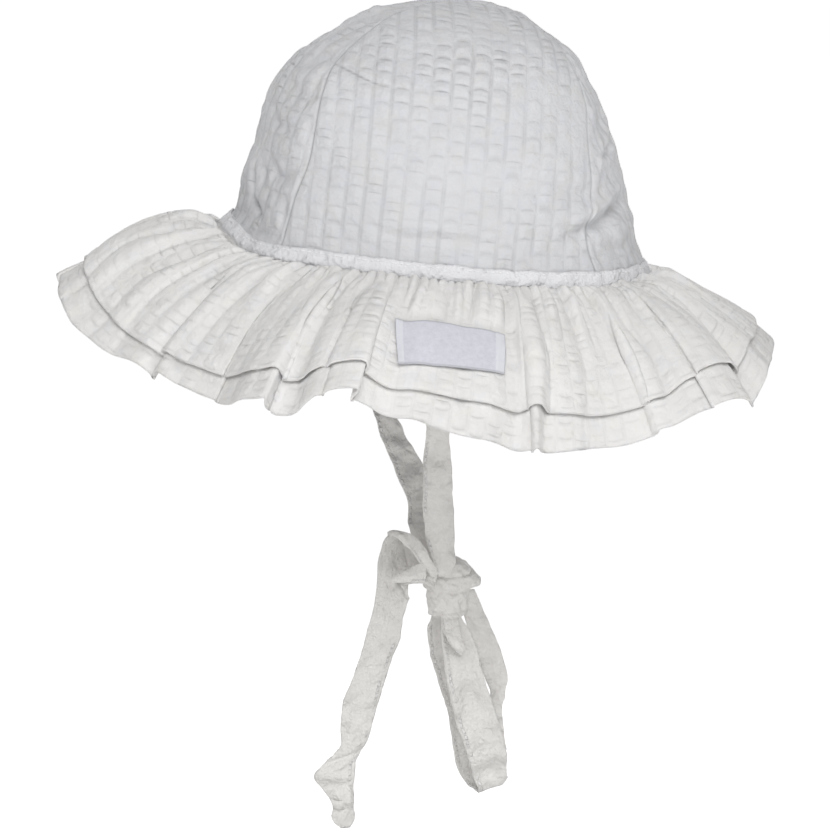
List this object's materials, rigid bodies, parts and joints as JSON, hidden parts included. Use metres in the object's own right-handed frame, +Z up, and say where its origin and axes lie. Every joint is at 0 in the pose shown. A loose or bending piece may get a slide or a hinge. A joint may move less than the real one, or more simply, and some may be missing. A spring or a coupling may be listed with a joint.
{
  "type": "sun hat",
  "caption": "Baby's white seersucker sun hat: gored crown, double ruffle brim with a plain label, and two cloth ties knotted below in a half bow.",
  "frame": {"origin": "middle of the head opening, in the plane where crown and brim are sewn together", "axes": "+Z up as worn, -Y to the front of the hat, +X to the wearer's left; the hat leans back about X and the ties hang along -Z"},
  "size_m": [0.226, 0.2616, 0.3127],
  "materials": {
    "crown_seersucker": "white cotton seersucker, puckered stripes running up the gores, matt",
    "brim_seersucker": "white cotton seersucker, gathered and hemmed, matt",
    "binding_cotton": "smooth white cotton strip with a row of stitches along its upper edge",
    "tie_cotton": "off-white cotton, folded and stitched along its edges, creased",
    "label_weave": "plain woven label, light grey middle with white folded ends, no marking"
  },
  "bodies": {
    "root": {"crown_front": "crown_seersucker", "crown_left": "crown_seersucker", "crown_back": "crown_seersucker", "crown_right": "crown_seersucker", "crown_binding": "binding_cotton", "ruffle_upper": "brim_seersucker", "ruffle_lower": "brim_seersucker", "label": "label_weave", "tie_left": "tie_cotton", "tie_right": "tie_cotton", "knot": "tie_cotton", "tie_tail": "tie_cotton", "bow_loop": "tie_cotton", "tie_end": "tie_cotton"}
  },
  "joints": []
}
